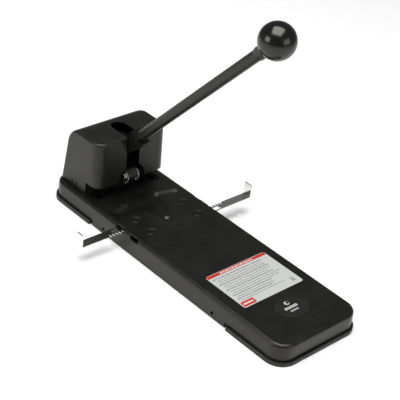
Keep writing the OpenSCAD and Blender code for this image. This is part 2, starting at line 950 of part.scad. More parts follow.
module lever_rod() {
    color(BLACK_STEEL) {
        along_lever(rod_start - spigot_l + 0.5)
            cylinder(r = spigot_r - eps, h = spigot_l - 0.5 + eps);
        along_lever(rod_start)
            cylinder(r = rod_r, h = lever_l - ball_r + 3 - rod_start);
        along_lever(lever_l - ball_r + 3 - eps)
            cylinder(r = thread_r, h = rod_end - lever_l + ball_r - 3);
    }
}

module hub_set_screw() {
    color(STEEL)
        along_lever(rod_start - 7)
            rotate([90, 0, 0])
                translate([0, 0, spigot_r])
                    difference() {
                        cylinder(r = 2 - eps, h = socket_h / 2 - spigot_r - 0.4);
                        translate([0, 0, socket_h / 2 - spigot_r - 2])
                            cylinder(r = 1, h = 3, $fn = 6);
                    }
}

module rod_collar() {
    color(BLACK_STEEL)
        along_lever(collar_start)
            difference() {
                union() {
                    cylinder(r1 = collar_r - collar_chamfer, r2 = collar_r, h = collar_chamfer);
                    translate([0, 0, collar_chamfer])
                        cylinder(r = collar_r, h = collar_l - collar_chamfer);
                }
                translate([0, 0, -over])
                    cylinder(r = rod_r + eps, h = collar_l + 2 * over);
            }
}

module ball_knob() {
    color(BALL_BLACK)
        along_lever(lever_l)
            difference() {
                sphere(r = ball_r);
                translate([0, 0, -ball_r - over])
                    cylinder(r = ball_r, h = ball_flat + over);
                translate([0, 0, -ball_r])
                    cylinder(r = collar_r + 0.1, h = 2.6);
                translate([0, 0, -ball_r])
                    cylinder(r = rod_r + eps, h = 3);
                translate([0, 0, -ball_r])
                    cylinder(r = thread_r + eps, h = rod_end - lever_l + ball_r + 1);
            }
}

// ---- paper guides --------------------------------------------------------

// Outline of a row of rack teeth: the points of each tooth follow the tooth pitch
function rack_points() = [
    for (i = [0 : rack_teeth - 1])
        let (
            x = rack_first_x + (i + 0.5) * tooth_pitch,
            half_tip = tooth_pitch / 4 - gear_module * tan(20) - backlash / 2,
            half_root = tooth_pitch / 4 + 1.25 * gear_module * tan(20) - backlash / 2
        )
        each [[x - half_root, rack_root], [x - half_tip, rack_tip],
              [x + half_tip, rack_tip], [x + half_root, rack_root]]
];

// A guide strip: toothed edge, slot for one rivet, narrow tail and a bent-up hook plate.
// It is drawn as the left one, behind the pinion.
module guide_rack() {
    tooth_shift = rack_phase();
    hook_top = strip_z + hook_h;
    difference() {
        union() {
            translate([0, 0, strip_z])
                linear_extrude(height = strip_t) {
                    translate([-hook_x + bend_r, rack_root - eps])
                        square([hook_x - bend_r + tail_start, strip_outer - rack_root + eps]);
                    translate([-hook_x + bend_r, rack_tip])
                        square([hook_x - bend_r + rack_first_x, strip_outer - rack_tip]);
                    translate([0, rack_root - eps])
                        square([tail_end, tail_outer - rack_root + eps]);
                    translate([tooth_shift, 0])
                        polygon(concat(
                            [[rack_first_x - 1, rack_root + eps]],
                            rack_points(),
                            [[tail_end - 2, rack_root + eps]]
                        ));
                }
            translate([-hook_x, rack_tip, strip_z + bend_r])
                cube([strip_t, strip_w, hook_h - bend_r]);
            translate([-hook_x + bend_r, rack_tip, strip_z + bend_r])
                rotate([-90, 0, 0])
                    difference() {
                        cylinder(r = bend_r, h = strip_w);
                        translate([0, 0, -over])
                            cylinder(r = bend_r - strip_t, h = strip_w + 2 * over);
                        translate([0, -10, -over])
                            cube([10, 20, strip_w + 2 * over]);
                        translate([-10, -10, -over])
                            cube([20, 10, strip_w + 2 * over]);
                    }
        }
        for (x = [-slot_in_x, -slot_out_x])
            translate([x, rivet_off, strip_z - over])
                cylinder(r = rivet_slot_r, h = strip_t + 2 * over);
        box(-slot_in_x, -slot_out_x, rivet_off - rivet_slot_r, rivet_off + rivet_slot_r,
            strip_z - over, strip_z + strip_t + over);
        translate([-hook_x - over, strip_outer - 3, hook_top - 3])
            difference() {
                cube([strip_t + 2 * over, 4, 4]);
                translate([-over, 0, 0])
                    rotate([0, 90, 0])
                        cylinder(r = 3, h = strip_t + 4 * over);
            }
    }
}

// Shift that brings a rack tooth to the middle of a gap of the pinion
function rack_phase() =
    let (first = rack_first_x + 0.5 * tooth_pitch)
    -(first - floor(first / tooth_pitch) * tooth_pitch);

module left_guide_rack() {
    color(BRIGHT)
        translate([0, guide_y, 0])
            guide_rack();
}

module right_guide_rack() {
    color(BRIGHT)
        translate([0, guide_y, 0])
            rotate([0, 0, 180])
                guide_rack();
}

// Angle of an involute at radius r from base circle rb, in degrees
function involute_angle(r, rb) =
    let (t = sqrt(max(r * r / (rb * rb) - 1, 0)))
    t * 180 / PI - atan(t);

// One flank of a pinion tooth from low to high radius, as half angles from its middle
function tooth_flank(steps) =
    let (
        rb = pitch_r * cos(20),
        tip = pitch_r + gear_module * 0.95,
        low = max(rb, pitch_r - gear_module),
        half = 90 / pinion_teeth - backlash / 2 / pitch_r * 180 / PI / 2
    )
    [
        for (i = [0 : steps])
            let (r = low + (tip - low) * i / steps)
            [r, half - (involute_angle(r, rb) - involute_angle(pitch_r, rb))]
    ];

module pinion() {
    root = pitch_r - 1.25 * gear_module;
    flank = tooth_flank(5);
    last = len(flank) - 1;
    foot = flank[0][1] - undercut;
    outline = [
        for (n = [0 : pinion_teeth - 1])
            let (mid = (n + 0.5) * 360 / pinion_teeth + 90)
            each concat(
                [[root * cos(mid - foot), root * sin(mid - foot)]],
                [for (p = flank) [p[0] * cos(mid - p[1]), p[0] * sin(mid - p[1])]],
                [for (i = [last : -1 : 0])
                    [flank[i][0] * cos(mid + flank[i][1]), flank[i][0] * sin(mid + flank[i][1])]],
                [[root * cos(mid + foot), root * sin(mid + foot)]]
            )
    ];
    color(BRIGHT)
        translate([0, guide_y, pinion_z])
            difference() {
                linear_extrude(height = pinion_h)
                    polygon(outline);
                translate([0, 0, -over])
                    cylinder(r = pinion_bore_r, h = pinion_h + 2 * over);
            }
}

module pinion_stud() {
    color(STEEL)
        translate([0, guide_y, 0]) {
            translate([0, 0, pinion_z - 2.2])
                cylinder(r = stud_r, h = stud_top_z - pinion_z + 2.2);
            translate([0, 0, pinion_z + pinion_h + 0.2])
                cylinder(r = 3.6, h = plate_under_z - 1 - pinion_z - pinion_h - 0.2);
        }
}

module pinion_clip() {
    color(BRIGHT)
        translate([0, guide_y, pinion_z - 1.4])
            difference() {
                cylinder(r = clip_r, h = 0.8);
                translate([0, 0, -over])
                    cylinder(r = stud_r, h = 0.8 + 2 * over);
                translate([-1.4, 0, -over])
                    cube([2.8, 10, 0.8 + 2 * over]);
            }
}

// Four rivets through the top of the base: round heads above, shanks through the strips
module guide_rivets() {
    low = strip_z - 1.6;
    color(BLACK_STEEL)
        for (x = [-rivet_x, rivet_x], row = [-1, 1])
            translate([x, guide_y + row * rivet_off, 0]) {
                translate([0, 0, low])
                    cylinder(r = rivet_r, h = base_h - low);
                translate([0, 0, low - 1])
                    cylinder(r = rivet_r + 1, h = 1);
                translate([0, 0, base_h])
                    difference() {
                        cylinder(r = 4.6, h = 0.9);
                        translate([0, 0, 0.3])
                            cylinder(r = 2.6, h = 2);
                    }
            }
}

module guide_washers() {
    color(BRIGHT)
        for (x = [-rivet_x, rivet_x], row = [-1, 1])
            translate([x, guide_y + row * rivet_off, strip_z - 1.6])
                difference() {
                    cylinder(r = 4.4, h = 1.2);
                    translate([0, 0, -over])
                        cylinder(r = rivet_r, h = 1.2 + 2 * over);
                }
}

// ---- cover ---------------------------------------------------------------

// The outside of the cover, smaller by inset: upright corners that lean inwards,
// a large round at the back of the top and a small one along its other edges
module cover_form(inset) {
    half_foot = cover_w / 2 - inset;
    half_top = cover_top_w / 2 - inset;
    fr = inset > 0 ? cover_front_r - inset - cover_thin : cover_front_r;
    rr = max(cover_rear_r - inset, 1);
    top_z = cover_top_z - inset;
    foot_z = inset > 0 ? cover_foot_z - over : cover_foot_z;
    top_front_y = cover_front_y + cover_lean + inset;
    top_rear_y = cover_rear_y - cover_rear_lean - inset;
    hull() {
        for (side = [-1, 1]) {
            translate([side * (half_foot - fr), cover_front_y + inset + fr, foot_z])
                cylinder(r = fr, h = 0.1, $fn = 48);
            translate([side * (half_foot - rr), cover_rear_y - inset - rr, foot_z])
                cylinder(r = rr, h = 0.1, $fn = 48);
            translate([side * (half_top - fr), top_front_y + fr, top_z - cover_edge_r])
                cylinder(r = fr, h = 0.1, $fn = 48);
            translate([side * (half_top - fr), top_front_y + fr, top_z - 0.8])
                cylinder(r = fr - 0.7, h = 0.1, $fn = 48);
            translate([side * (half_top - fr), top_front_y + fr, top_z - 0.1])
                cylinder(r = fr - cover_edge_r, h = 0.1, $fn = 48);
        }
        x_rod(cover_top_r - cover_edge_r / 3, -half_top, half_top,
              top_rear_y - cover_top_r, top_z - cover_top_r, $fn = 48);
        x_rod(cover_top_r, -half_top + cover_edge_r, half_top - cover_edge_r,
              top_rear_y - cover_top_r, top_z - cover_top_r, $fn = 48);
    }
}

module head_cover() {
    slot_r = slot_w / 2;
    color(BLACK_PLASTIC)
        difference() {
            cover_form(0);
            cover_form(cover_t);
            box(-slot_r, slot_r, cover_front_y - over, slot_rear_y - slot_r,
                cover_cut_z, cover_top_z + over);
            translate([0, slot_rear_y - slot_r, cover_top_z - cover_top_r])
                cylinder(r = slot_r, h = cover_top_r + over);
            y_rod(arch_r, cover_front_y - over, cover_front_y + 14, 0, cover_cut_z + 1);
            box(-cover_w, cover_w, cover_front_y - over, stop_y + 0.3,
                cover_foot_z - over, cover_cut_z);
            for (i = [0, 1])
                box(-cover_w, cover_w, slit_y + i * slit_pitch, slit_y + slit_w + i * slit_pitch,
                    cover_foot_z - over, cover_foot_z + slit_h);
            for (x = [-cover_screw_x, cover_screw_x])
                union() {
                    y_rod(1.8, cover_rear_y - 20, cover_rear_y + over, x, cover_screw_z);
                    y_rod(seat_head_r + 0.3, seat_y, cover_rear_y + over, x, cover_screw_z);
                }
        }
}

module cover_screws() {
    color(STEEL)
        for (x = [-cover_screw_x, cover_screw_x])
            translate([x, seat_y, cover_screw_z])
                rotate([-90, 0, 0])
                    cap_screw(1.6 - eps, 14, seat_head_r, 2.2, 1.4);
}

// ---- labels --------------------------------------------------------------

module info_label() {
    centre_y = guide_y - 146;
    color(PAPER)
        translate([1, 0, base_h])
            linear_extrude(height = 0.25)
                plan_outline(label_w, centre_y - label_l / 2, centre_y + label_l / 2, 3, 3);
}

module oval_badge() {
    centre_y = guide_y - 204;
    color(IRON)
        translate([0, centre_y, base_h])
            linear_extrude(height = 0.25)
                scale([1, badge_l / badge_w])
                    circle(d = badge_w);
}

base_tray();
tray_posts();
front_tray();
front_tray_screws();
chip_tray();
die_plate();
left_die();
right_die();
punch_frame();
frame_bolts();
guide_bar();
guide_bar_screws();
stop_pin();
stop_pin_washers();
fulcrum_pin();
fulcrum_washers();
left_punch();
right_punch();
left_return_spring();
right_return_spring();
cross_shaft();
shaft_clips();
lever_hub();
lever_rod();
hub_set_screw();
rod_collar();
ball_knob();
left_guide_rack();
right_guide_rack();
pinion();
pinion_stud();
pinion_clip();
guide_rivets();
guide_washers();
head_cover();
cover_screws();
info_label();
oval_badge();
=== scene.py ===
"""Looks of a heavy-duty two-hole lever punch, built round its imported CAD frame.

Sizes are in millimetres and become metres as meshes are made. The origin is the middle
of the underside of the base: +Z is up, -Y faces the user and +X is the user's right.
"""

import math
import random

import bmesh
import bpy
from bpy.props import FloatProperty, FloatVectorProperty, IntProperty, PointerProperty
from mathutils import Matrix, Vector
from mathutils.geometry import delaunay_2d_cdt


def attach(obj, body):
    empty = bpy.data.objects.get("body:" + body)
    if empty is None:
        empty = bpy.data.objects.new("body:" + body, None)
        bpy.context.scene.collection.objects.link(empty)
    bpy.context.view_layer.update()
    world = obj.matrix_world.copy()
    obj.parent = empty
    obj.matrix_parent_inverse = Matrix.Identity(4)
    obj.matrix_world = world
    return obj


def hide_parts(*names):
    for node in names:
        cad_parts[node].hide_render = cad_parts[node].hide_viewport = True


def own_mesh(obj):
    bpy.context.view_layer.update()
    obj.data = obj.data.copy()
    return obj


bl_info = {
    "name": "Lever Punch",
    "version": (1, 0, 0),
    "blender": (4, 5, 0),
    "location": "3D View > Sidebar > Lever Punch",
    "description": "Builds the visible pieces and finishes of a heavy-duty lever punch",
    "category": "Add Mesh",
}

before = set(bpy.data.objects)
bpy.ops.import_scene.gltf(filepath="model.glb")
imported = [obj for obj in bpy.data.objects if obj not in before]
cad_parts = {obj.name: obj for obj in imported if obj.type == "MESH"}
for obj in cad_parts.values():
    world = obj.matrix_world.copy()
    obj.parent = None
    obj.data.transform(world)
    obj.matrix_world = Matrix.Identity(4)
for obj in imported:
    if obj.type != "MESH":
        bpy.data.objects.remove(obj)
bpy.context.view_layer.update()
MM = 0.001

# Base
BASE_W, BASE_L, BASE_H = 120.0, 392.0, 25.5
SHEET = 1.6
BASE_CORNER = 19.0
REAR_TRAY_Y, FRONT_TRAY_Y = 119.0, -115.0
RELIEF = 2.4
DRAWER_HALF, DRAWER_TOP = 52.0, 15.2
PUNCH_X, PUNCH_Y = 40.0, 131.5
DIES = ((-PUNCH_X, PUNCH_Y), (PUNCH_X, PUNCH_Y))
DIE_RECESS_R = 8.4
GUIDE_Y = 54.5
RIVETS = tuple((x, GUIDE_Y + dy) for x in (-35.4, 35.4) for dy in (-14.3, 14.3))
NOTCH_NEAR, NOTCH_FAR = 6.1, 19.6
NOTCH_IN, NOTCH_Z = 3.0, 19.8
# Cover
COVER_FOOT_Z, COVER_TOP_Z = 25.8, 99.0
COVER_HALF_FOOT, COVER_HALF_TOP = 51.75, 51.25
COVER_FRONT_Y, COVER_REAR_Y = 121.0, 192.5
COVER_LEAN, COVER_REAR_LEAN = 3.0, 7.0
COVER_WALL = 2.2
# Screws at the back of the cover, and the flat seats under their heads
COVER_SCREW_X, COVER_SCREW_Z = 30.0, 45.0
COVER_SEAT_Y = 189.42
# Lever
LEVER_ANGLE = math.radians(47.0)
SHAFT_AT = Vector((0.0, PUNCH_Y, 83.5))
LEVER_L = 299.0
# Return springs: ends at rest and radius of the coil
SPRING_Z = (48.0, 76.0)
SPRING_R = 4.3


# ---- shapes ----------------------------------------------------------------


def smooth_step(t):
    t = min(max(t, 0.0), 1.0)
    return t * t * (3.0 - 2.0 * t)


def rounded_outline(half_x, y0, y1, front_r, rear_r, arc=12, long_n=96, short_n=30):
    """Points round a rectangle with its own radius at the -Y and the +Y corners."""
    corners = (
        (half_x - front_r, y0 + front_r, front_r, -90.0, long_n),
        (half_x - rear_r, y1 - rear_r, rear_r, 0.0, short_n),
        (-half_x + rear_r, y1 - rear_r, rear_r, 90.0, long_n),
        (-half_x + front_r, y0 + front_r, front_r, 180.0, short_n),
    )
    arcs = []
    for cx, cy, r, start, _ in corners:
        turn = [math.radians(start + 90.0 * i / arc) for i in range(arc + 1)]
        arcs.append([(cx + r * math.cos(a), cy + r * math.sin(a)) for a in turn])
    points = []
    for i, (_, _, _, _, steps) in enumerate(corners):
        points.extend(arcs[i])
        a, b = arcs[i][-1], arcs[(i + 1) % 4][0]
        for k in range(1, steps):
            t = k / steps
            points.append((a[0] + (b[0] - a[0]) * t, a[1] + (b[1] - a[1]) * t))
    return points


def bridge(bm, low, high):
    """Quads between two closed rings of the same length."""
    n = len(low)
    for i in range(n):
        j = (i + 1) % n
        bm.faces.new((low[i], low[j], high[j], high[i]))


def make_object(name, bm, materials, angle=40.0):
    """Turns a bmesh in millimetres into a smooth-shaded object in metres."""
    bmesh.ops.recalc_face_normals(bm, faces=bm.faces)
    mesh = bpy.data.meshes.new(name)
    bm.to_mesh(mesh)
    bm.free()
    mesh.transform(Matrix.Scale(MM, 4))
    mesh.shade_smooth()
    mesh.set_sharp_from_angle(angle=math.radians(angle))
    for material in materials:
        mesh.materials.append(material)
    obj = bpy.data.objects.new(name, mesh)
    bpy.context.scene.collection.objects.link(obj)
    return obj


def apply_modifiers(obj, angle=40.0):
    """Replaces an object's mesh with its modified one, and marks the sharp edges again."""
    depsgraph = bpy.context.evaluated_depsgraph_get()
    mesh = bpy.data.meshes.new_from_object(obj.evaluated_get(depsgraph))
    obj.modifiers.clear()
    obj.data = mesh
    mesh.shade_smooth()
    mesh.set_sharp_from_angle(angle=math.radians(angle))


def thicken(obj, thickness):
    solid = obj.modifiers.new("sheet", "SOLIDIFY")
    solid.thickness = thickness * MM
    solid.offset = -1.0
    solid.use_even_offset = True
    apply_modifiers(obj)


def cut(obj, cutters):
    """Takes the cutter shapes, a list of bmeshes in millimetres, out of an object."""
    for i, shape in enumerate(cutters):
        tool = make_object(f"{obj.name}_cutter_{i}", shape, [])
        boolean = obj.modifiers.new("cut", "BOOLEAN")
        boolean.operation = "DIFFERENCE"
        boolean.solver = "MANIFOLD"
        boolean.object = tool
        apply_modifiers(obj)
        bpy.data.objects.remove(tool)


def box_shape(lo, hi):
    bm = bmesh.new()
    bmesh.ops.create_cube(bm, size=1.0)
    size = [hi[i] - lo[i] for i in range(3)]
    middle = [(hi[i] + lo[i]) / 2.0 for i in range(3)]
    bmesh.ops.scale(bm, vec=size, verts=bm.verts)
    bmesh.ops.translate(bm, vec=middle, verts=bm.verts)
    return bm


def rod_shape(radius, start, end, sides=48):
    """A cylinder between two points."""
    bm = bmesh.new()
    axis = Vector(end) - Vector(start)
    bmesh.ops.create_cone(
        bm, cap_ends=True, segments=sides, radius1=radius, radius2=radius, depth=axis.length
    )
    turn = axis.to_track_quat("Z", "Y").to_matrix().to_4x4()
    place = Matrix.Translation((Vector(start) + Vector(end)) / 2.0) @ turn
    bmesh.ops.transform(bm, matrix=place, verts=bm.verts)
    return bm


def turned_shape(profile, sides=64):
    """A solid of revolution about Z. The profile is (radius, height) from one end to the other."""
    bm = bmesh.new()
    rings = []
    for radius, height in profile:
        if radius < 1e-6:
            rings.append([bm.verts.new((0.0, 0.0, height))])
            continue
        turn = [2.0 * math.pi * i / sides for i in range(sides)]
        rings.append([bm.verts.new((radius * math.cos(a), radius * math.sin(a), height)) for a in turn])
    for low, high in zip(rings, rings[1:]):
        if len(low) == 1 or len(high) == 1:
            tip, ring = (low[0], high) if len(low) == 1 else (high[0], low)
            for i in range(sides):
                bm.faces.new((tip, ring[i], ring[(i + 1) % sides]))
        else:
            bridge(bm, low, high)
    return bm


def along_lever(distance):
    """A matrix, in millimetres, whose Z runs up the lever from a point on its axis."""
    turn = Matrix.Rotation(math.pi / 2.0 - LEVER_ANGLE, 4, "X")
    return Matrix.Translation(SHAFT_AT) @ turn @ Matrix.Translation((0.0, 0.0, distance))


# ---- materials -------------------------------------------------------------


def start_material(name):
    material = bpy.data.materials.new(name)
    material.use_nodes = True
    tree = material.node_tree
    shader = tree.nodes["Principled BSDF"]
    return material, tree, shader


def add(tree, kind, **settings):
    made = tree.nodes.new(kind)
    for key, value in settings.items():
        if hasattr(made, key):
            setattr(made, key, value)
        else:
            made.inputs[key.replace("_", " ").title()].default_value = value
    return made


def noise(tree, coords, scale, detail=3.0, roughness=0.5, stretch=(1.0, 1.0, 1.0)):
    mapping = add(tree, "ShaderNodeMapping")
    mapping.inputs["Scale"].default_value = stretch
    tree.links.new(coords, mapping.inputs["Vector"])
    made = add(tree, "ShaderNodeTexNoise", scale=scale, detail=detail, roughness=roughness)
    tree.links.new(mapping.outputs["Vector"], made.inputs["Vector"])
    return made.outputs["Fac"]


def ramp(tree, value, low, high, out_low, out_high):
    made = add(tree, "ShaderNodeMapRange")
    for name, number in (("From Min", low), ("From Max", high), ("To Min", out_low), ("To Max", out_high)):
        made.inputs[name].default_value = number
    tree.links.new(value, made.inputs["Value"])
    return made.outputs["Result"]


def mix_colour(tree, factor, a, b):
    made = add(tree, "ShaderNodeMix", data_type="RGBA")
    tree.links.new(factor, made.inputs["Factor"])
    for socket, value in ((made.inputs[6], a), (made.inputs[7], b)):
        if hasattr(value, "is_linked"):
            tree.links.new(value, socket)
        else:
            socket.default_value = (*value, 1.0)
    return made.outputs[2]


def multiply(tree, a, b):
    made = add(tree, "ShaderNodeMath", operation="MULTIPLY")
    tree.links.new(a, made.inputs[0])
    if hasattr(b, "is_linked"):
        tree.links.new(b, made.inputs[1])
    else:
        made.inputs[1].default_value = b
    return made.outputs[0]


def bump(tree, height, strength, depth, under=None):
    made = add(tree, "ShaderNodeBump")
    made.inputs["Strength"].default_value = strength
    made.inputs["Distance"].default_value = depth
    tree.links.new(height, made.inputs["Height"])
    if under is not None:
        tree.links.new(under, made.inputs["Normal"])
    return made.outputs["Normal"]


def soft_edges(tree, radius):
    """A normal rounded over edges, and a mask that is 1 along them."""
    bevel = add(tree, "ShaderNodeBevel", samples=4)
    bevel.inputs["Radius"].default_value = radius
    flat = add(tree, "ShaderNodeNewGeometry")
    dot = add(tree, "ShaderNodeVectorMath", operation="DOT_PRODUCT")
    tree.links.new(bevel.outputs["Normal"], dot.inputs[0])
    tree.links.new(flat.outputs["Normal"], dot.inputs[1])
    return bevel.outputs["Normal"], ramp(tree, dot.outputs["Value"], 0.995, 0.86, 0.0, 1.0)


def enamel(name, colour, rough=(0.34, 0.46), peel=0.12, grain=900.0, worn=0.5, shine=0.5):
    """Stoved enamel or moulded plastic: fine skin, clouded gloss, paler rubbed edges."""
    material, tree, shader = start_material(name)
    coords = add(tree, "ShaderNodeTexCoord").outputs["Object"]
    cloud = noise(tree, coords, 38.0, 4.0, 0.6)
    fine = noise(tree, coords, grain, 2.0, 0.5)
    specks = noise(tree, coords, 420.0, 6.0, 0.75)
    normal, edge = soft_edges(tree, 0.0005)
    deep = tuple(c * 0.75 for c in colour)
    pale = tuple(min(c * 1.35 + 0.002, 1.0) for c in colour)
    body = mix_colour(tree, ramp(tree, cloud, 0.3, 0.7, 0.0, 1.0), deep, pale)
    rubbed = tuple(min(c * 2.2 + 0.02, 1.0) for c in colour)
    wear = multiply(tree, multiply(tree, edge, ramp(tree, specks, 0.35, 0.7, 0.0, 1.0)), worn)
    tree.links.new(mix_colour(tree, wear, body, rubbed), shader.inputs["Base Color"])
    tree.links.new(ramp(tree, cloud, 0.25, 0.75, rough[0], rough[1]), shader.inputs["Roughness"])
    tree.links.new(bump(tree, fine, peel, 0.0001, normal), shader.inputs["Normal"])
    shader.inputs["Metallic"].default_value = 0.0
    shader.inputs["Specular IOR Level"].default_value = shine
    shader.inputs["Specular Tint"].default_value = (1.0, 0.985, 0.93, 1.0)
    return material


def bright_metal(name, colour, rough=(0.08, 0.2), lines=(1.0, 40.0, 1.0), depth=0.05, tarnish=0.25):
    """Plated or ground metal with drawn lines, faint tarnish and softened edges."""
    material, tree, shader = start_material(name)
    coords = add(tree, "ShaderNodeTexCoord").outputs["Object"]
    drawn = noise(tree, coords, 160.0, 4.0, 0.7, lines)
    stain = noise(tree, coords, 55.0, 5.0, 0.6)
    normal, edge = soft_edges(tree, 0.00025)
    dull = tuple(c * 0.72 for c in colour)
    clouded = ramp(tree, stain, 0.45, 0.75, 0.0, tarnish)
    tree.links.new(mix_colour(tree, clouded, colour, dull), shader.inputs["Base Color"])
    mixed = add(tree, "ShaderNodeMath", operation="ADD")
    tree.links.new(ramp(tree, drawn, 0.3, 0.7, rough[0], rough[1]), mixed.inputs[0])
    tree.links.new(multiply(tree, edge, 0.1), mixed.inputs[1])
    tree.links.new(mixed.outputs[0], shader.inputs["Roughness"])
    tree.links.new(bump(tree, drawn, depth, 0.00005, normal), shader.inputs["Normal"])
    shader.inputs["Metallic"].default_value = 1.0
    return material


def printed(name, colour, rough=0.42):
    """Printing ink on film: faint ink mottle and a slightly uneven gloss."""
    material, tree, shader = start_material(name)
    coords = add(tree, "ShaderNodeTexCoord").outputs["Object"]
    mottle = noise(tree, coords, 700.0, 4.0, 0.7)
    film = noise(tree, coords, 60.0, 2.0, 0.5)
    weak = tuple(c * 0.9 for c in colour)
    spread = ramp(tree, mottle, 0.35, 0.65, 0.0, 1.0)
    tree.links.new(mix_colour(tree, spread, colour, weak), shader.inputs["Base Color"])
    tree.links.new(ramp(tree, film, 0.3, 0.7, rough - 0.05, rough + 0.08), shader.inputs["Roughness"])
    tree.links.new(bump(tree, film, 0.05, 0.0001), shader.inputs["Normal"])
    shader.inputs["Specular IOR Level"].default_value = 0.4
    return material


# ---- settings --------------------------------------------------------------


def colour_prop(name, description, default):
    return FloatVectorProperty(
        name=name, description=description, default=default, subtype="COLOR", size=3, min=0.0, max=1.0
    )


def length_prop(name, description, default):
    return FloatProperty(
        name=name, description=description, default=default * MM, subtype="DISTANCE", unit="LENGTH"
    )


class PunchColours(bpy.types.PropertyGroup):
    """Colours of the punch's finishes."""

    base: colour_prop("Base", "Enamel of the pressed base", (0.0032, 0.0031, 0.0029))
    cover: colour_prop("Cover", "Skin of the head cover", (0.0042, 0.0041, 0.0039))
    trays: colour_prop("Trays", "Moulded plastic of the two end trays", (0.0075, 0.0074, 0.0070))
    lever: colour_prop("Lever", "Enamel of the lever rod, collar and hub", (0.0035, 0.0034, 0.0033))
    knob: colour_prop("Knob", "Polished ball knob", (0.0025, 0.0025, 0.0025))
    inner: colour_prop("Inner steel", "Blackened steel of the punching frame", (0.005, 0.005, 0.005))
    nickel: colour_prop("Nickel", "Plating of the guide strips and the pinion", (0.80, 0.80, 0.79))
    steel: colour_prop("Steel", "Ground steel of punches, dies and shafts", (0.56, 0.57, 0.58))
    paper: colour_prop("Label", "Ground colour of the label", (0.50, 0.51, 0.49))
    red: colour_prop("Label red", "Strip and block on the label", (0.46, 0.022, 0.014))
    ink: colour_prop("Label ink", "Bars that stand for lines of print", (0.16, 0.16, 0.15))
    mark: colour_prop("Badge mark", "Pale mark on the badge", (0.46, 0.46, 0.44))
    floor: colour_prop("Floor", "Floor of the set", (0.92, 0.92, 0.92))


class PunchSizes(bpy.types.PropertyGroup):
    """Sizes of details that only the visible pieces have."""

    rolled_edge: length_prop("Rolled edge", "Radius of the rolled edge of the base", 4.0)
    trough: length_prop("Trough", "Depth of the trough in the base, near the head", 3.0)
    dimple: length_prop("Dimple", "Depth of the ring pressed round each rivet", 0.5)
    cover_edge: length_prop("Cover edge", "Radius along the edges of the cover's top", 3.0)
    cover_back: length_prop("Cover back", "Radius at the back of the cover's top", 23.0)
    knob: length_prop("Knob", "Diameter of the ball knob", 40.0)
    rod: length_prop("Rod", "Diameter of the lever rod", 13.0)
    collar: length_prop("Collar", "Diameter of the collar under the ball", 15.5)
    spring_wire: length_prop("Spring wire", "Diameter of the return springs' wire", 1.0)
    spring_turns: IntProperty(
        name="Spring turns", description="Turns of each return spring", default=7, min=4, max=12
    )


PAINTS = {}


def paint(key):
    """The shared material for a kind of finish, made when it is first asked for."""
    if key in PAINTS:
        return PAINTS[key]
    c = bpy.context.scene.punch_colours
    recipes = {
        "base": lambda: enamel("base_enamel", tuple(c.base), (0.30, 0.40), 0.10, 900.0, 0.6, 0.42),
        "cover": lambda: enamel("cover_skin", tuple(c.cover), (0.36, 0.46), 0.22, 1500.0, 0.5, 0.42),
        "trays": lambda: enamel("tray_plastic", tuple(c.trays), (0.42, 0.52), 0.25, 1800.0, 0.3, 0.4),
        "lever": lambda: enamel("lever_enamel", tuple(c.lever), (0.34, 0.44), 0.25, 1100.0, 0.4, 0.45),
        "knob": lambda: enamel("knob_gloss", tuple(c.knob), (0.16, 0.22), 0.02, 500.0, 0.0, 0.5),
        "inner": lambda: enamel("inner_black", tuple(c.inner), (0.34, 0.5), 0.15, 700.0, 0.8, 0.5),
        "nickel": lambda: bright_metal(
            "nickel_plate", tuple(c.nickel), (0.10, 0.20), (1.0, 30.0, 30.0), 0.04, 0.2
        ),
        "steel": lambda: bright_metal(
            "ground_steel", tuple(c.steel), (0.18, 0.32), (6.0, 6.0, 60.0), 0.10, 0.3
        ),
        "zinc": lambda: bright_metal(
            "zinc_plate", tuple(c.nickel), (0.14, 0.28), (8.0, 8.0, 8.0), 0.06, 0.35
        ),
        "paper": lambda: printed("label_film", tuple(c.paper)),
        "red": lambda: printed("label_red", tuple(c.red)),
        "ink": lambda: printed("label_ink", tuple(c.ink)),
        "white": lambda: printed("label_white", (0.75, 0.75, 0.73)),
        "badge": lambda: printed("badge_film", (0.012, 0.012, 0.0115), 0.3),
        "mark": lambda: printed("badge_mark", tuple(c.mark)),
        "rim": lambda: printed("badge_rim", (0.02, 0.02, 0.019), 0.3),
        # Painted shade: the lever hub and the two dies sit deep in the head and the throat, so they get a
        # near-black, almost unreflecting finish in place of the lever enamel and the ground steel
        "hub": lambda: enamel("hub_and_dies_painted_shade", (0.002, 0.002, 0.002), (0.5, 0.6), 0.15, 700.0, 0.3, 0.15),
    }
    PAINTS[key] = recipes[key]()
    return PAINTS[key]


NODE_PAINTS = {
    "trays": ("front_tray", "chip_tray"),
    "inner": (
        "die_plate", "punch_frame", "guide_bar", "frame_bolts", "guide_bar_screws", "cover_screws",
        "shaft_clips", "hub_set_screw",
    ),
    "base": ("guide_rivets", "tray_posts"),
    # The lever hub and the two dies take the painted-shade black, which stands for the shade inside the head
    # and the throat
    "hub": ("lever_hub", "left_die", "right_die"),
    "nickel": ("left_guide_rack", "right_guide_rack", "pinion"),
    "steel": ("left_punch", "right_punch", "cross_shaft"),
    "zinc": (
        "stop_pin", "stop_pin_washers", "fulcrum_pin", "fulcrum_washers", "front_tray_screws",
        "pinion_stud", "pinion_clip", "guide_washers",
    ),
}


class PUNCH_OT_finishes(bpy.types.Operator):
    """Gives every CAD part that stays in view its finish"""

    bl_idname = "punch.finishes"
    bl_label = "Finishes"

    def execute(self, context):
        for key, names in NODE_PAINTS.items():
            for name in names:
                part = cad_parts[name]
                part.data.materials.clear()
                part.data.materials.append(paint(key))
        return {"FINISHED"}


# ---- base ------------------------------------------------------------------


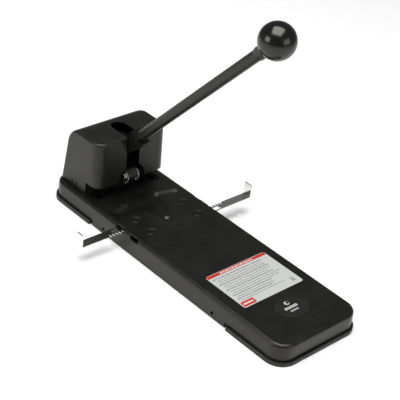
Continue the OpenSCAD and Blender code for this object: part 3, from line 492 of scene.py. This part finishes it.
def trough_depth(x, y, depth):
    """How far the top of the base is pressed down at a point."""
    side = abs(x)
    rear = depth * smooth_step((25.0 - side) / 8.0) * smooth_step((y - 78.0) / 16.0)
    band = depth * 0.8 * smooth_step((52.0 - side) / 9.0) * smooth_step((y - 82.0) / 8.0)
    band *= smooth_step((104.0 - 0.22 * max(side - 20.0, 0.0) - y) / 7.0)
    reach = min(max((y - 24.0) / 62.0, 0.0), 1.0)
    neck_half = 7.5 + 8.0 * reach
    neck = depth * (0.18 + 0.75 * reach) * smooth_step((neck_half + 2.0 - side) / 5.5)
    neck *= smooth_step((y - 20.0) / 11.0)
    pressed = (rear**4 + band**4 + neck**4) ** 0.25
    return pressed * smooth_step((141.5 - y) / 3.0)


def top_height(x, y, sizes):
    """Height of the top of the base, with the rings pressed round the rivets and dies."""
    z = BASE_H - trough_depth(x, y, sizes.trough / MM)
    for rx, ry in RIVETS:
        r = math.hypot(x - rx, y - ry)
        z -= sizes.dimple / MM * math.exp(-(((r - 5.9) / 0.8) ** 2))
    for dx, dy in DIES:
        r = math.hypot(x - dx, y - dy)
        z -= 0.5 * smooth_step((10.2 - r) / 1.8)
    return z


def base_sheet(sizes):
    """The outside skin of the base: walls, rolled edge and pressed top, with the die holes."""
    edge = sizes.rolled_edge / MM
    bm = bmesh.new()

    def ring(inset, z):
        outline = rounded_outline(
            BASE_W / 2 - inset, -BASE_L / 2 + inset, BASE_L / 2 - inset,
            BASE_CORNER - inset, BASE_CORNER - inset,
        )
        return [bm.verts.new((x, y, z)) for x, y in outline]

    levels = [(0.0, 0.0), (0.0, 7.0), (0.0, 15.0), (0.0, BASE_H - edge)]
    for i in range(1, 8):
        a = math.pi / 2 * i / 8
        levels.append((edge - edge * math.cos(a), BASE_H - edge + edge * math.sin(a)))
    levels.append((edge, BASE_H))
    rings = [ring(inset, z) for inset, z in levels]
    for low, high in zip(rings, rings[1:]):
        bridge(bm, low, high)

    rim = [v.co.xy.copy() for v in rings[-1]]
    points, fixed = list(rim), [(i, (i + 1) % len(rim)) for i in range(len(rim))]
    for cx, cy in DIES:
        first = len(points)
        count = 48
        for i in range(count):
            a = 2 * math.pi * i / count
            points.append(Vector((cx + DIE_RECESS_R * math.cos(a), cy + DIE_RECESS_R * math.sin(a))))
            fixed.append((first + i, first + (i + 1) % count))
    spots = [(c, [0.9 * k + 9.0 for k in range(4)]) for c in DIES]
    spots += [(c, [0.45 * k + 3.6 for k in range(10)]) for c in RIVETS]
    for (cx, cy), radii in spots:
        for r in radii:
            for i in range(40):
                a = 2 * math.pi * i / 40
                points.append(Vector((cx + r * math.cos(a), cy + r * math.sin(a))))
    step = 2.0
    for ix in range(-27, 28):
        for iy in range(-95, 96):
            x, y = ix * step + (iy % 2) * step / 2, iy * step
            crowded = any(math.hypot(x - cx, y - cy) < radii[-1] + 0.8 for (cx, cy), radii in spots)
            corner = math.hypot(max(abs(x) - 41.0, 0.0), max(abs(y) - 177.0, 0.0))
            if not crowded and corner < BASE_CORNER - edge - 1.2:
                points.append(Vector((x, y)))
    out = delaunay_2d_cdt(points, fixed, [], 1, 1e-4)
    verts = []
    for i, p in enumerate(out[0]):
        origins = out[3][i]
        known = next((k for k in origins if k < len(rim)), None)
        if known is not None:
            verts.append(rings[-1][known])
        else:
            verts.append(bm.verts.new((p.x, p.y, top_height(p.x, p.y, sizes))))
    for face in out[2]:
        cx = sum(out[0][i].x for i in face) / len(face)
        cy = sum(out[0][i].y for i in face) / len(face)
        if all(math.hypot(cx - dx, cy - dy) > DIE_RECESS_R for dx, dy in DIES):
            bm.faces.new([verts[i] for i in face])
    return bm


def base_cutters():
    """Notches for the guide strips, wall holes, and the cuts that clear the two trays."""
    wide, over = BASE_W, 1.0
    shapes = [
        box_shape((-wide, REAR_TRAY_Y - 0.5, -over), (wide, BASE_L, 2.0)),
        box_shape((-wide, -BASE_L, -over), (wide, FRONT_TRAY_Y + 0.5, 1.41)),
        box_shape((-wide, REAR_TRAY_Y - RELIEF, -over), (wide, REAR_TRAY_Y, 7.0)),
        box_shape((-wide, FRONT_TRAY_Y, -over), (wide, FRONT_TRAY_Y + RELIEF, 7.0)),
        box_shape((-DRAWER_HALF, BASE_L / 2 - BASE_CORNER, -over), (DRAWER_HALF, BASE_L, DRAWER_TOP)),
    ]
    for side in (-1, 1):
        for row in (-1, 1):
            x0, x1 = sorted((side * (BASE_W / 2 - NOTCH_IN), side * (BASE_W / 2 + 3.0)))
            y0, y1 = sorted((GUIDE_Y + row * NOTCH_NEAR, GUIDE_Y + row * NOTCH_FAR))
            shape = box_shape((x0, y0, NOTCH_Z), (x1, y1, BASE_H + 2.0))
            along_z = [e for e in shape.edges if abs(e.verts[0].co.z - e.verts[1].co.z) > 1.0]
            low = [
                e for e in shape.edges
                if e not in along_z
                and max(v.co.z for v in e.verts) < NOTCH_Z + 0.1
                and abs(e.verts[0].co.x - e.verts[1].co.x) > 1.0
            ]
            bmesh.ops.bevel(shape, geom=along_z + low, offset=1.4, segments=4, affect="EDGES", profile=0.5)
            shapes.append(shape)
    for y in (GUIDE_Y + 41.0, GUIDE_Y - 147.0):
        shapes.append(rod_shape(2.0, (-wide, y, 6.3), (wide, y, 6.3), 32))
    return shapes


class PUNCH_OT_base(bpy.types.Operator):
    """Presses the base: one sheet with rolled edges, trough, rings and cut-outs"""

    bl_idname = "punch.base"
    bl_label = "Base"

    def execute(self, context):
        sizes = context.scene.punch_sizes
        base = make_object("base_shell", base_sheet(sizes), [paint("base")])
        thicken(base, SHEET)
        cut(base, base_cutters())
        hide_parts("base_tray")
        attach(base, "frame")
        return {"FINISHED"}


# ---- cover -----------------------------------------------------------------


def cover_rings(bm, sizes, inset):
    """Rings of the cover that lean in, round over and close at the top."""
    edge, back = sizes.cover_edge / MM - inset * 0.7, sizes.cover_back / MM - inset
    top = COVER_TOP_Z - inset
    height = COVER_TOP_Z - COVER_FOOT_Z
    parts = [i / 8 * 0.999 for i in range(9)]
    levels = [COVER_FOOT_Z + (top - back - COVER_FOOT_Z) * part for part in parts]
    levels += [top - back + back * math.sin(math.pi / 2 * i / 16) for i in range(1, 12)]
    levels += [top - edge + edge * math.sin(math.pi / 2 * i / 7) for i in range(1, 8)]
    rings = []
    for z in sorted(levels):
        t = (z - COVER_FOOT_Z) / height
        over_edge = max(z - (top - edge), 0.0)
        tuck = edge - math.sqrt(max(edge**2 - over_edge**2, 0.0))
        over_back = max(z - (top - back), 0.0)
        lean_back = back - math.sqrt(max(back**2 - over_back**2, 0.0))
        half = COVER_HALF_FOOT + (COVER_HALF_TOP - COVER_HALF_FOOT) * t - tuck - inset
        front = COVER_FRONT_Y + COVER_LEAN * t + tuck + inset
        rear_t = min((z - COVER_FOOT_Z) / (top - back - COVER_FOOT_Z), 1.0)
        rear = COVER_REAR_Y - COVER_REAR_LEAN * rear_t - lean_back - inset
        outline = rounded_outline(
            half, front, rear, 12.0 - tuck - inset, 6.0 - tuck - inset * 0.9, 10, 24, 36
        )
        rings.append([bm.verts.new((x, y, z)) for x, y in outline])
    return rings


def cover_skin(sizes):
    """The cover as one closed shell, open underneath."""
    bm = bmesh.new()
    outer = cover_rings(bm, sizes, 0.0)
    inner = cover_rings(bm, sizes, COVER_WALL)
    for rings in (outer, inner):
        for low, high in zip(rings, rings[1:]):
            bridge(bm, low, high)
        bm.faces.new(rings[-1])
    bridge(bm, inner[0], outer[0])
    return bm


def cover_cutters():
    """The lever's slot, the arch over the stop pin, the throat, slits and screw holes."""
    slot_half, slot_back, cut_z = 9.7, 152.3, 41.5
    shapes = [
        box_shape((-slot_half, 110.0, cut_z), (slot_half, slot_back, 110.0)),
        rod_shape(slot_half, (0.0, slot_back, 80.0), (0.0, slot_back, 110.0)),
        rod_shape(19.0, (0.0, 110.0, cut_z + 1.0), (0.0, 135.0, cut_z + 1.0), 72),
        box_shape((-70.0, 110.0, 20.0), (70.0, 143.8, cut_z)),
    ]
    for y in (160.0, 168.3):
        shapes.append(box_shape((-70.0, y, 20.0), (70.0, y + 1.0, COVER_FOOT_Z + 8.0)))
    z = COVER_SCREW_Z
    for x in (-COVER_SCREW_X, COVER_SCREW_X):
        shapes.append(rod_shape(1.8, (x, 170.0, z), (x, 195.0, z), 24))
        shapes.append(rod_shape(3.5, (x, COVER_SEAT_Y, z), (x, 196.0, z), 32))
    return shapes


class PUNCH_OT_cover(bpy.types.Operator):
    """Moulds the cover of the punching head"""

    bl_idname = "punch.cover"
    bl_label = "Cover"

    def execute(self, context):
        cover = make_object("cover_shell", cover_skin(context.scene.punch_sizes), [paint("cover")])
        cut(cover, cover_cutters())
        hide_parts("head_cover")
        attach(cover, "frame")
        return {"FINISHED"}


# ---- lever -----------------------------------------------------------------


def lever_piece(name, profile, start, key, node):
    shape = turned_shape(profile, 72)
    bmesh.ops.transform(shape, matrix=along_lever(start), verts=shape.verts)
    made = make_object(name, shape, [paint(key)], 30.0)
    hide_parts(node)
    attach(made, "lever")
    return made


class PUNCH_OT_lever(bpy.types.Operator):
    """Turns the lever rod, its collar and the ball knob"""

    bl_idname = "punch.lever"
    bl_label = "Lever"

    def execute(self, context):
        sizes = context.scene.punch_sizes
        rod, collar, ball = sizes.rod / MM / 2, sizes.collar / MM / 2, sizes.knob / MM / 2
        rod_start, rod_stop = 28.0, LEVER_L - ball + 3.0
        length = rod_stop - rod_start
        bar_profile = [
            (0.0, -16.5), (4.6, -16.5), (4.99, -16.1), (4.99, 0.0), (rod - 0.6, 0.0), (rod, 0.6)
        ]
        bar_profile += [(rod, 0.6 + (length - 1.2) * i / 12) for i in range(1, 13)]
        bar_profile += [
            (rod - 0.6, length), (4.0, length), (4.0, length + 8.0), (3.4, length + 8.6),
            (0.0, length + 8.6),
        ]
        lever_piece("lever_bar", bar_profile, rod_start, "lever", "lever_rod")
        hole, collar_l = rod + 0.01, 14.0
        lever_piece(
            "knob_collar",
            [(hole, 0.3), (hole + 0.3, 0.0), (collar - 1.0, 0.0), (collar - 0.35, 0.3), (collar, 1.0),
             (collar, collar_l - 0.8), (collar - 0.6, collar_l), (hole, collar_l), (hole, 0.3)],
            LEVER_L - ball - 11.5, "lever", "rod_collar",
        )
        floor = -math.sqrt(ball**2 - 8.6**2)
        start = math.asin(floor / ball)
        skin = [start + (math.pi / 2 - start) * i / 40 for i in range(41)]
        profile = [
            (0.0, floor + 12.0), (4.01, floor + 12.0), (4.01, floor + 2.7), (8.0, floor + 2.7),
            (8.0, floor + 0.3),
        ]
        profile += [(ball * math.cos(a), ball * math.sin(a)) for a in skin[:-1]] + [(0.0, ball)]
        lever_piece("ball_grip", profile, LEVER_L, "knob", "ball_knob")
        return {"FINISHED"}


class PUNCH_OT_springs(bpy.types.Operator):
    """Winds the two return springs round the punches"""

    bl_idname = "punch.springs"
    bl_label = "Return springs"

    def execute(self, context):
        sizes = context.scene.punch_sizes
        wire, turns, sides, steps = sizes.spring_wire / MM / 2, sizes.spring_turns, 10, 28
        low, high = SPRING_Z[0] + wire, SPRING_Z[1] - wire
        closed = 2.2 * wire
        for side, name in ((-1, "left_return_spring"), (1, "right_return_spring")):
            bm = bmesh.new()
            rings = []
            for i in range(turns * steps + 1):
                t = i / steps
                lift = closed + (t - 1.0) * (high - low - 2 * closed) / (turns - 2)
                if t < 1:
                    z = low + t * closed
                elif t > turns - 1:
                    z = low + (high - low - (turns - t) * closed)
                else:
                    z = low + lift
                a = 2 * math.pi * t
                ring = []
                for k in range(sides):
                    b = 2 * math.pi * k / sides
                    r = SPRING_R + wire * math.cos(b)
                    x, y = side * PUNCH_X + r * math.cos(a), PUNCH_Y + r * math.sin(a)
                    ring.append(bm.verts.new((x, y, z + wire * math.sin(b))))
                rings.append(ring)
            for near, far in zip(rings, rings[1:]):
                bridge(bm, near, far)
            bm.faces.new(rings[0])
            bm.faces.new(rings[-1])
            coil = make_object(name + "_coil", bm, [paint("steel")])
            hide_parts(name)
            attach(coil, "frame")
            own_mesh(coil)
        return {"FINISHED"}


# ---- labels ----------------------------------------------------------------


def plate(bm, points, z0, z1, index):
    """A thin flat plate over an outline, with one material."""
    low = [bm.verts.new((x, y, z0)) for x, y in points]
    high = [bm.verts.new((x, y, z1)) for x, y in points]
    faces = [bm.faces.new(high), bm.faces.new(list(reversed(low)))]
    n = len(points)
    faces += [bm.faces.new((low[i], low[(i + 1) % n], high[(i + 1) % n], high[i])) for i in range(n)]
    for face in faces:
        face.material_index = index


def bar(bm, x0, x1, y0, y1, z0, z1, index):
    plate(bm, [(x0, y0), (x1, y0), (x1, y1), (x0, y1)], z0, z1, index)


def oval(cx, cy, a, b, count=64):
    turn = [2 * math.pi * i / count for i in range(count)]
    return [(cx + a * math.cos(t), cy + b * math.sin(t)) for t in turn]


class PUNCH_OT_label(bpy.types.Operator):
    """Prints the label: a red strip, bars that stand for lines of print, a block and a sign"""

    bl_idname = "punch.label"
    bl_label = "Label"

    def execute(self, context):
        bm = bmesh.new()
        cx, cy, half_w, half_l = 1.0, -91.5, 44.5, 31.75
        film, print_z = BASE_H + 0.2, BASE_H + 0.24
        outline = rounded_outline(half_w, cy - half_l, cy + half_l, 3.0, 3.0, 6, 1, 1)
        plate(bm, [(x + cx, y) for x, y in outline], BASE_H, film, 0)
        rear = cy + half_l
        bar(bm, cx - half_w + 0.6, cx + half_w - 0.6, rear - 5.0, rear - 0.6, film, print_z, 1)
        random.seed(7)
        x = cx - 25.0
        while x < cx + 22.0:
            word = random.uniform(2.0, 5.5)
            bar(bm, x, x + word, rear - 3.7, rear - 2.1, print_z, print_z + 0.02, 3)
            x += word + 1.2
        for line in range(13):
            y = rear - 9.6 - line * 3.55
            bold = line in (0, 3, 6, 9, 11)
            x = cx - half_w + (4.0 if bold else 7.0)
            stop = cx + half_w - (8.0 if line < 9 else 18.0) - random.uniform(0.0, 14.0)
            while x < stop:
                word = random.uniform(1.6, 6.0)
                deep = 1.25 if bold else 0.8
                bar(bm, x, min(x + word, stop + 1.0), y, y + deep, film, print_z, 2)
                x += word + 0.9
        bar(bm, cx - half_w + 1.6, cx - half_w + 19.5, cy - half_l + 1.4, cy - half_l + 9.4, film, print_z, 1)
        x = cx - half_w + 3.6
        for word in (1.6, 1.8, 1.4, 1.8, 1.6, 1.7):
            bar(bm, x, x + word, cy - half_l + 4.2, cy - half_l + 6.6, print_z, print_z + 0.02, 3)
            x += word + 0.7
        sx, sy = cx + half_w - 8.6, cy - half_l + 8.2
        bin_bars = (
            (-2.4, 2.4, 2.6, 3.3), (-1.9, -1.3, -2.2, 2.6), (1.3, 1.9, -2.2, 2.6), (-1.9, 1.9, -2.6, -2.0)
        )
        for x0, x1, y0, y1 in bin_bars:
            bar(bm, sx + x0, sx + x1, sy + y0, sy + y1, film, print_z, 2)
        for lean in (-1, 1):
            plate(
                bm,
                [
                    (sx - 3.4 * lean, sy - 4.2), (sx - 2.8 * lean, sy - 4.2),
                    (sx + 3.4 * lean, sy + 4.2), (sx + 2.8 * lean, sy + 4.2),
                ],
                film, print_z + 0.01, 2,
            )
        made = make_object("label_print", bm, [paint("paper"), paint("red"), paint("ink"), paint("white")])
        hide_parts("info_label")
        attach(made, "frame")
        return {"FINISHED"}


class PUNCH_OT_badge(bpy.types.Operator):
    """Prints the oval badge: a faint rim and a plain pale device over two bars"""

    bl_idname = "punch.badge"
    bl_label = "Badge"

    def execute(self, context):
        bm = bmesh.new()
        cx, cy = 0.0, -149.5
        film, print_z = BASE_H + 0.15, BASE_H + 0.18
        plate(bm, oval(cx, cy, 20.5, 16.5), BASE_H, film, 0)
        outer, inner = oval(cx, cy, 19.6, 15.6), oval(cx, cy, 19.25, 15.25)
        n = len(outer)
        for i in range(n):
            j = (i + 1) % n
            plate(bm, [outer[i], outer[j], inner[j], inner[i]], film, print_z, 2)
        plate(bm, oval(cx, cy + 7.6, 3.4, 3.0, 32), film, print_z, 1)
        plate(bm, oval(cx + 1.1, cy + 7.9, 2.1, 1.9, 32), print_z, print_z + 0.01, 0)
        random.seed(11)
        x = cx - 9.5
        for word in (2.6, 2.2, 2.8, 2.3, 2.7, 2.2):
            bar(bm, x, x + word, cy - 1.6, cy + 2.0, film, print_z, 1)
            x += word + 0.6
        x = cx - 6.0
        for word in (1.7, 1.5, 1.6, 1.4, 1.8):
            bar(bm, x, x + word, cy - 6.4, cy - 4.2, film, print_z, 1)
            x += word + 0.7
        made = make_object("badge_print", bm, [paint("badge"), paint("mark"), paint("rim")])
        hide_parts("oval_badge")
        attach(made, "frame")
        return {"FINISHED"}


# ---- stage -----------------------------------------------------------------


def soft_light(name, place, target, size, power):
    lamp = bpy.data.lights.new(name, "AREA")
    lamp.shape = "RECTANGLE"
    lamp.size, lamp.size_y = size
    lamp.energy = power
    made = bpy.data.objects.new(name, lamp)
    made.location = place
    made.rotation_euler = (Vector(target) - Vector(place)).to_track_quat("-Z", "Y").to_euler()
    bpy.context.scene.collection.objects.link(made)
    return made


class PUNCH_OT_stage(bpy.types.Operator):
    """Sets the floor, the soft lights and the camera"""

    bl_idname = "punch.stage"
    bl_label = "Stage"

    def execute(self, context):
        scene = context.scene
        mesh = bpy.data.meshes.new("floor")
        reach, n = 3.0, 12
        bm = bmesh.new()
        bmesh.ops.create_grid(bm, x_segments=n, y_segments=n, size=reach)
        bm.to_mesh(mesh)
        bm.free()
        floor = bpy.data.objects.new("floor", mesh)
        scene.collection.objects.link(floor)
        material, tree, shader = start_material("floor_paper")
        coords = add(tree, "ShaderNodeTexCoord").outputs["Object"]
        pale = tuple(scene.punch_colours.floor)
        grey = tuple(c * 0.985 for c in pale)
        mottle = ramp(tree, noise(tree, coords, 30.0, 3.0), 0.35, 0.65, 0.0, 1.0)
        tree.links.new(mix_colour(tree, mottle, pale, grey), shader.inputs["Base Color"])
        shader.inputs["Roughness"].default_value = 0.9
        shader.inputs["Specular IOR Level"].default_value = 0.1
        mesh.materials.append(material)

        world = scene.world or bpy.data.worlds.new("studio")
        scene.world = world
        world.use_nodes = True
        sky = world.node_tree.nodes.get("Background")
        sky.inputs["Color"].default_value = (1.0, 1.0, 1.0, 1.0)
        sky.inputs["Strength"].default_value = 0.16
        soft_light("overhead", (-0.25, -0.1, 2.2), (-0.05, 0.0, 0.0), (1.9, 1.9), 66.0)
        soft_light("left_box", (-1.6, 0.5, 0.75), (0.0, 0.05, 0.08), (0.9, 0.7), 8.0)
        soft_light("front_box", (0.3, -1.8, 0.8), (0.0, -0.05, 0.05), (1.2, 0.8), 6.0)

        scene.view_settings.view_transform = "Standard"
        camera = bpy.data.objects.new("camera", bpy.data.cameras.new("camera"))
        camera.data.lens, camera.data.sensor_width = 107.35, 36.0
        camera.data.clip_start, camera.data.clip_end = 0.05, 20.0
        turn, tilt, roll = math.radians(-45.6), math.radians(32.32), math.radians(7.21)
        back = Vector((math.sin(turn) * math.cos(tilt), -math.cos(turn) * math.cos(tilt), math.sin(tilt)))
        right = Vector((math.cos(turn), math.sin(turn), 0.0))
        up = back.cross(right)
        across = right * math.cos(roll) + up * math.sin(roll)
        upward = up * math.cos(roll) - right * math.sin(roll)
        axes = Matrix((across, upward, back)).transposed().to_4x4()
        camera.matrix_world = Matrix.Translation((-0.8008, -0.7793, 0.7846)) @ axes
        scene.collection.objects.link(camera)
        scene.camera = camera
        return {"FINISHED"}


# ---- panel and registration --------------------------------------------------


PIECES = (
    PUNCH_OT_finishes,
    PUNCH_OT_base,
    PUNCH_OT_cover,
    PUNCH_OT_lever,
    PUNCH_OT_springs,
    PUNCH_OT_label,
    PUNCH_OT_badge,
    PUNCH_OT_stage,
)


class PUNCH_PT_panel(bpy.types.Panel):
    """Lists the punch's settings and pieces in the sidebar"""

    bl_label = "Lever Punch"
    bl_idname = "PUNCH_PT_panel"
    bl_space_type = "VIEW_3D"
    bl_region_type = "UI"
    bl_category = "Lever Punch"

    def draw(self, context):
        for group in (context.scene.punch_colours, context.scene.punch_sizes):
            settings = self.layout.box()
            for name in group.__annotations__:
                settings.prop(group, name)
        buttons = self.layout.column()
        for piece in PIECES:
            buttons.operator(piece.bl_idname)


CLASSES = (PunchColours, PunchSizes, *PIECES, PUNCH_PT_panel)


def register():
    for made in CLASSES:
        bpy.utils.register_class(made)
    bpy.types.Scene.punch_colours = PointerProperty(type=PunchColours)
    bpy.types.Scene.punch_sizes = PointerProperty(type=PunchSizes)


def unregister():
    del bpy.types.Scene.punch_sizes
    del bpy.types.Scene.punch_colours
    for made in reversed(CLASSES):
        bpy.utils.unregister_class(made)


def main():
    register()
    for piece in PIECES:
        group, action = piece.bl_idname.split(".")
        result = getattr(getattr(bpy.ops, group), action)()
        if result != {"FINISHED"}:
            raise RuntimeError(f"{piece.bl_label} could not be made")


if __name__ == "__main__":
    main()
